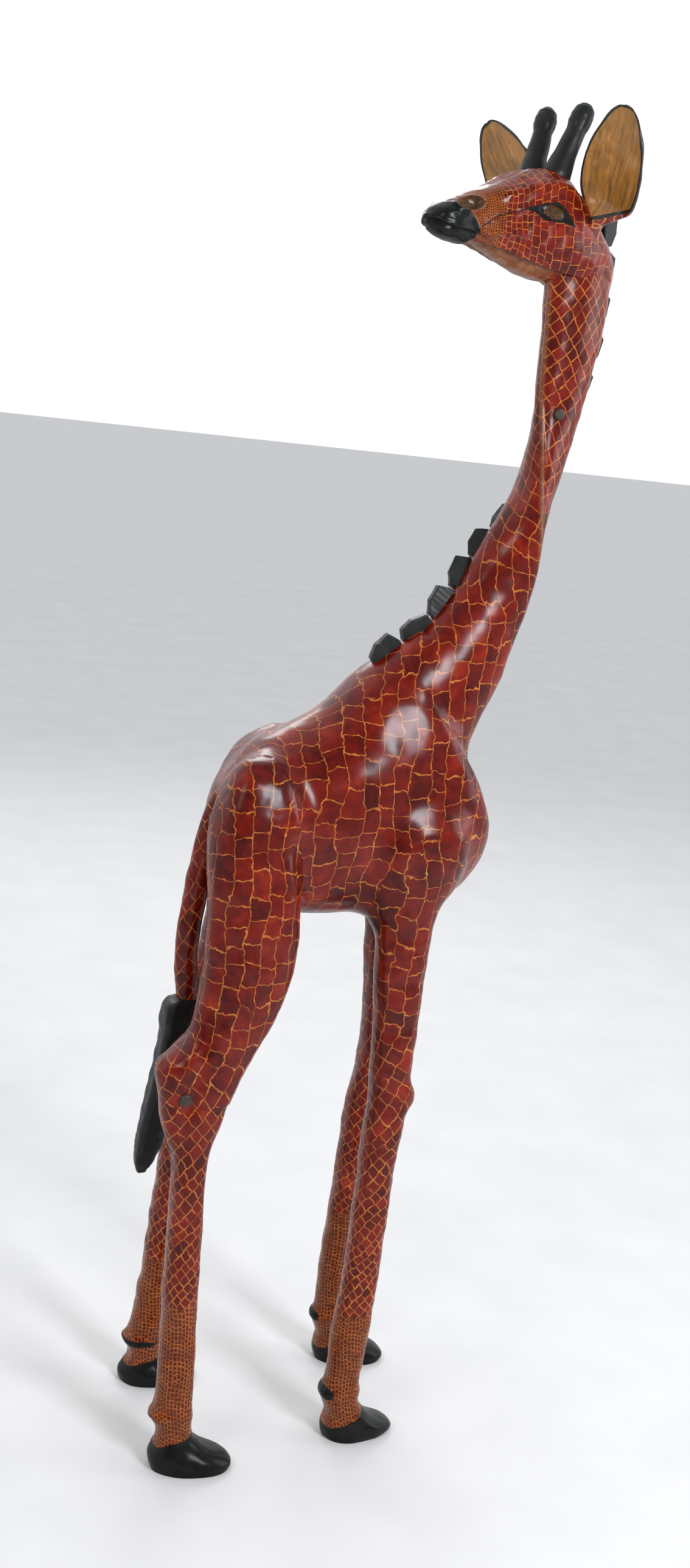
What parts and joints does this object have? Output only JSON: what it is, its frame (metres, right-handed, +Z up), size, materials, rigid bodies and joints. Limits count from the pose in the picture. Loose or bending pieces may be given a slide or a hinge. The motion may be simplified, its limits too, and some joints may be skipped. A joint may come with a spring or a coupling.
{
  "type": "carved giraffe statue",
  "caption": "Tall carved wooden giraffe standing on four separate legs and looking back, with a notched black mane, pegged ears and horns, and a red crackle-painted body.",
  "frame": {"origin": "middle of the bounding box on the floor plane", "axes": "+Z up, +X the way the body faces, +Y the giraffe's left"},
  "size_m": [0.5594, 0.3258, 1.8594],
  "materials": {
    "painted_red_wood": "deep red-brown painted cells outlined by hand in gold, under gloss lacquer",
    "black_stained_wood": "black stain, satin",
    "varnished_ear_wood": "golden brown natural wood under varnish, with a black painted rim and a red back",
    "bare_wood": "unfinished hardwood dowel",
    "dark_plug_wood": "dark glued plug end, satin"
  },
  "bodies": {
    "root": {"ear_left": "varnished_ear_wood", "ear_right": "varnished_ear_wood", "foreleg_left": "painted_red_wood", "foreleg_plug_left": "dark_plug_wood", "foreleg_plug_right": "dark_plug_wood", "foreleg_right": "painted_red_wood", "head": "painted_red_wood", "head_dowel": "bare_wood", "hip_dowel_left": "bare_wood", "hip_dowel_right": "bare_wood", "hock_dowel_left": "bare_wood", "hock_dowel_right": "bare_wood", "hock_plug_left": "dark_plug_wood", "hock_plug_right": "dark_plug_wood", "horn_left": "black_stained_wood", "horn_right": "black_stained_wood", "mane_block_01": "black_stained_wood", "mane_block_02": "black_stained_wood", "mane_block_03": "black_stained_wood", "mane_block_04": "black_stained_wood", "mane_block_05": "black_stained_wood", "mane_block_06": "black_stained_wood", "mane_block_07": "black_stained_wood", "mane_block_08": "black_stained_wood", "mane_block_09": "black_stained_wood", "mane_block_10": "black_stained_wood", "mane_block_11": "black_stained_wood", "mane_block_12": "black_stained_wood", "mane_block_13": "black_stained_wood", "mane_block_14": "black_stained_wood", "neck_dowel": "bare_wood", "neck_plug": "dark_plug_wood", "shank_left": "painted_red_wood", "shank_right": "painted_red_wood", "shoulder_dowel_left": "bare_wood", "shoulder_dowel_right": "bare_wood", "tail": "painted_red_wood", "tail_tuft": "black_stained_wood", "thigh_left": "painted_red_wood", "thigh_right": "painted_red_wood", "torso": "painted_red_wood", "tuft_dowel": "bare_wood", "upper_neck": "painted_red_wood"}
  },
  "joints": []
}
